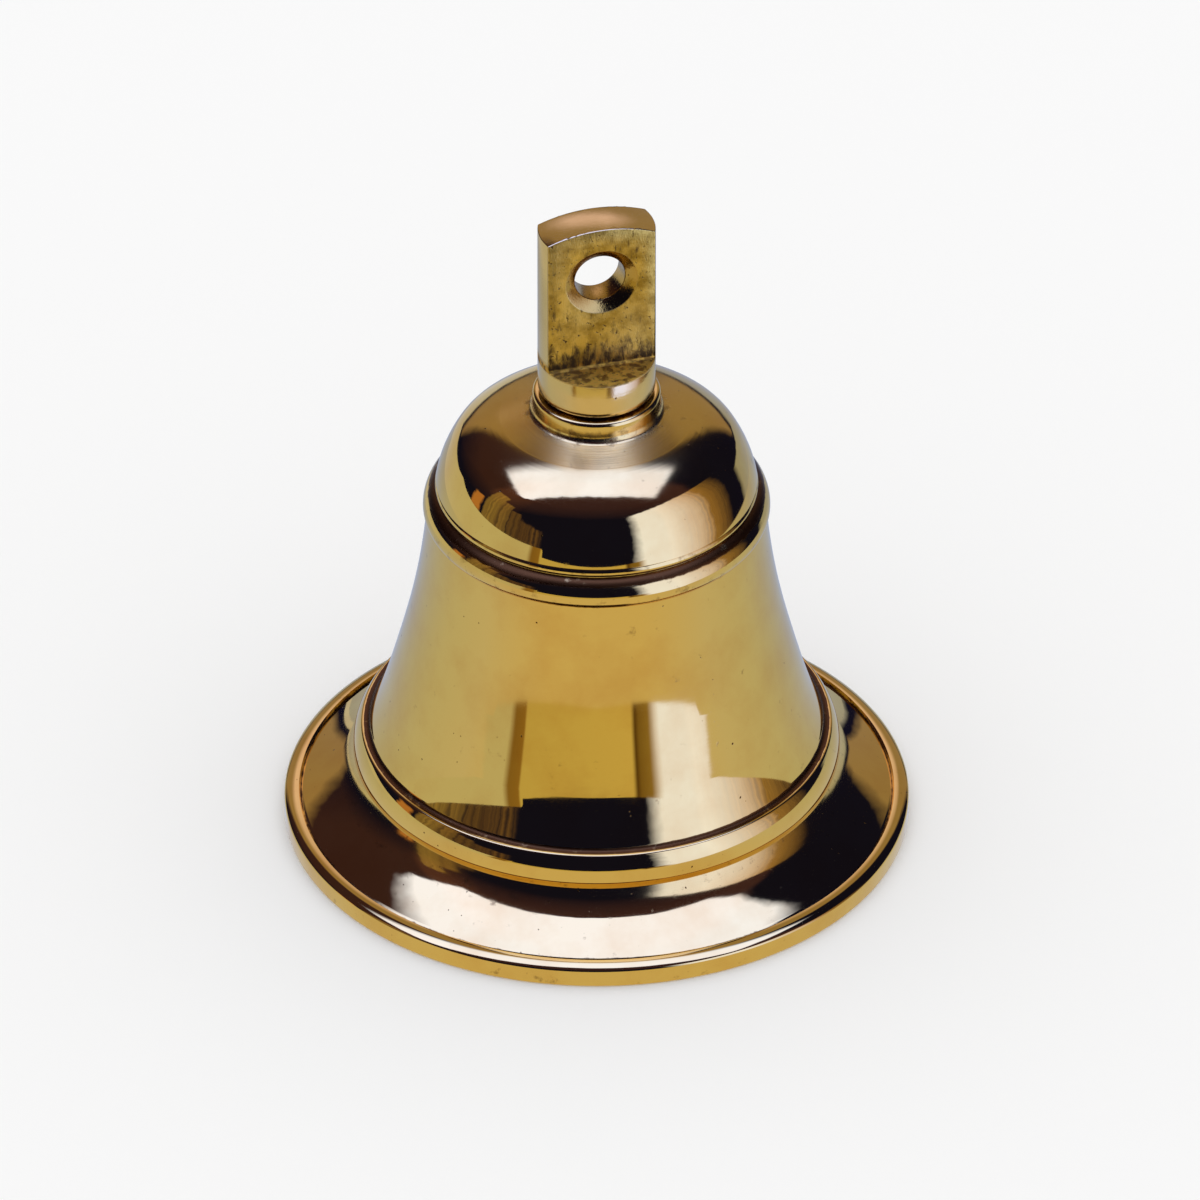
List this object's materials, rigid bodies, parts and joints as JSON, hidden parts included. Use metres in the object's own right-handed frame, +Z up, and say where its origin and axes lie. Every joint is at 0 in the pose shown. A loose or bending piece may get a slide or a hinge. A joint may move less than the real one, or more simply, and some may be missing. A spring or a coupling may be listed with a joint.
{
  "type": "small hanging bell",
  "caption": "Small turned brass bell with a flanged rim, two beads, a drilled hanging stud and a hinged clapper inside.",
  "frame": {"origin": "centre of the mouth, in the plane of the rim that the bell stands on", "axes": "+Z up along the bell's axis of turning; +Y along the hanging stud's cross bore, square to its two milled flats; +X along the flats, which is the way the clapper swings"},
  "size_m": [0.085, 0.085, 0.0971],
  "materials": {
    "polished_brass": "turned and polished to a mirror outside, satin inside",
    "milled_brass": "bar stock with rough milled flats",
    "plain_brass": "as machined",
    "spring_steel": "plated spring steel",
    "bronze": "drawn rivet wire",
    "clapper_brass": "turned, lightly tarnished"
  },
  "bodies": {
    "bell": {"bell_shell": "polished_brass", "hanger_stud": "milled_brass", "crown_washer": "plain_brass", "lock_washer": "spring_steel", "crown_nut": "plain_brass", "clapper_pin": "bronze"},
    "clapper": {"clapper_rod": "clapper_brass", "clapper_ball": "clapper_brass", "lanyard_eye": "clapper_brass"}
  },
  "joints": [
    {"name": "clapper_swing", "type": "hinge", "parent": "bell", "child": "clapper", "pos_m": [0, 0, 0.05084], "axis": [0, 1, 0], "range_deg": [-29.6, 29.6]}
  ]
}
